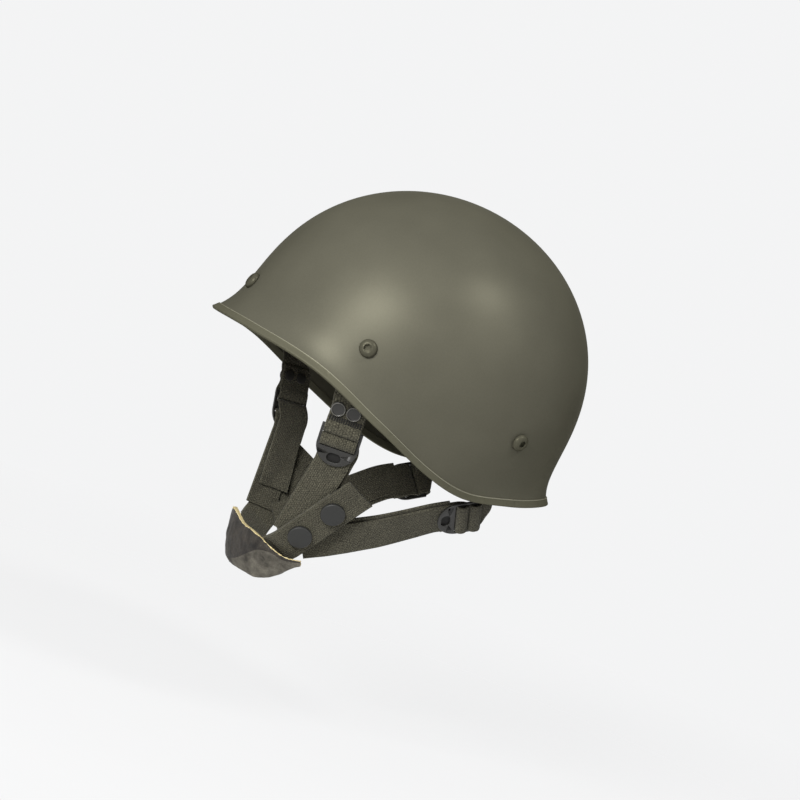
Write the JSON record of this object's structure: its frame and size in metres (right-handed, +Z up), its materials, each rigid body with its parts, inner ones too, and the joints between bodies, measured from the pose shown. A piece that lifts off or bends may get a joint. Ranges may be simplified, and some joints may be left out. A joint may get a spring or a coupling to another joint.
{
  "type": "paratrooper helmet",
  "caption": "Steel paratrooper helmet with a flared brim, head liner and a webbing chin harness with slider buckles, press stud tabs and a leather chin cup.",
  "frame": {"origin": "middle of the bowl at its widest level, between the ears of the wearer", "axes": "+Z up to the crown, -Y to the front brim, +X to the wearer's left"},
  "size_m": [0.2322, 0.2795, 0.301],
  "materials": {
    "olive_paint": "matt sprayed paint over steel, faint grain",
    "strip_paint": "satin paint over a rolled steel strip",
    "bolt_paint": "satin paint, brushed over the bolt heads",
    "zinc_steel": "dull zinc plating",
    "black_steel": "black oxide, worn at the edges",
    "webbing": "olive woven webbing, sewn",
    "cup_leather": "dark grained leather with a pale raw edge",
    "sweat_leather": "brown smooth leather",
    "liner_board": "moulded fibre board",
    "foam_rubber": "closed cell foam rubber"
  },
  "bodies": {
    "root": {"shell": "olive_paint", "rim_strip": "strip_paint", "shell_bolts": "bolt_paint", "bolt_washers": "zinc_steel", "bolt_nuts": "zinc_steel", "liner_brackets": "black_steel", "headband_ring": "liner_board", "headband_rivets": "zinc_steel", "sweatband": "sweat_leather", "crown_straps": "webbing", "crown_pad": "foam_rubber", "left_front_hanger": "webbing", "right_front_hanger": "webbing", "left_rear_hanger": "webbing", "right_rear_hanger": "webbing", "left_rear_strap": "webbing", "right_rear_strap": "webbing"},
    "harness": {"left_hanger_rivets": "black_steel", "right_hanger_rivets": "black_steel", "left_front_strap": "webbing", "right_front_strap": "webbing", "left_base_strap": "webbing", "right_base_strap": "webbing", "left_press_studs": "black_steel", "right_press_studs": "black_steel", "chin_cup": "cup_leather"},
    "left_front_buckle": {"left_front_buckle": "black_steel", "left_front_loop": "webbing"},
    "left_rear_buckle": {"left_rear_buckle": "black_steel", "left_rear_loop": "webbing"},
    "left_tab": {"left_tab": "webbing", "left_stud_caps": "black_steel"},
    "right_front_buckle": {"right_front_buckle": "black_steel", "right_front_loop": "webbing"},
    "right_rear_buckle": {"right_rear_buckle": "black_steel", "right_rear_loop": "webbing"},
    "right_tab": {"right_tab": "webbing", "right_stud_caps": "black_steel"}
  },
  "joints": [
    {"name": "harness_swing", "type": "hinge", "parent": "root", "child": "harness", "pos_m": [0, -0.066, -0.0011], "axis": [-1, 0, 0], "range_deg": [-12, 12], "deforming": ["left_front_hanger", "right_front_hanger", "left_rear_strap", "right_rear_strap"]},
    {"name": "left_front_buckle_tilt", "type": "hinge", "parent": "harness", "child": "left_front_buckle", "pos_m": [0.0755, -0.05612, -0.06126], "axis": [-0.342, -0.9397, 0], "range_deg": [0, 35]},
    {"name": "left_rear_buckle_tilt", "type": "hinge", "parent": "root", "child": "left_rear_buckle", "pos_m": [0.06816, 0.05838, -0.09107], "axis": [0.5538, -0.3771, 0.7424], "range_deg": [0, 35]},
    {"name": "left_tab_peel", "type": "hinge", "parent": "harness", "child": "left_tab", "pos_m": [0.04829, -0.05726, -0.14992], "axis": [-0.1029, 0.8795, -0.4647], "range_deg": [0, 85]},
    {"name": "right_front_buckle_tilt", "type": "hinge", "parent": "harness", "child": "right_front_buckle", "pos_m": [-0.0755, -0.05612, -0.06126], "axis": [-0.342, 0.9397, 0], "range_deg": [0, 35]},
    {"name": "right_rear_buckle_tilt", "type": "hinge", "parent": "root", "child": "right_rear_buckle", "pos_m": [-0.06816, 0.05838, -0.09107], "axis": [0.5538, 0.3771, -0.7424], "range_deg": [0, 35]},
    {"name": "right_tab_peel", "type": "hinge", "parent": "harness", "child": "right_tab", "pos_m": [-0.04829, -0.05726, -0.14992], "axis": [-0.1029, -0.8795, 0.4647], "range_deg": [0, 85]}
  ]
}
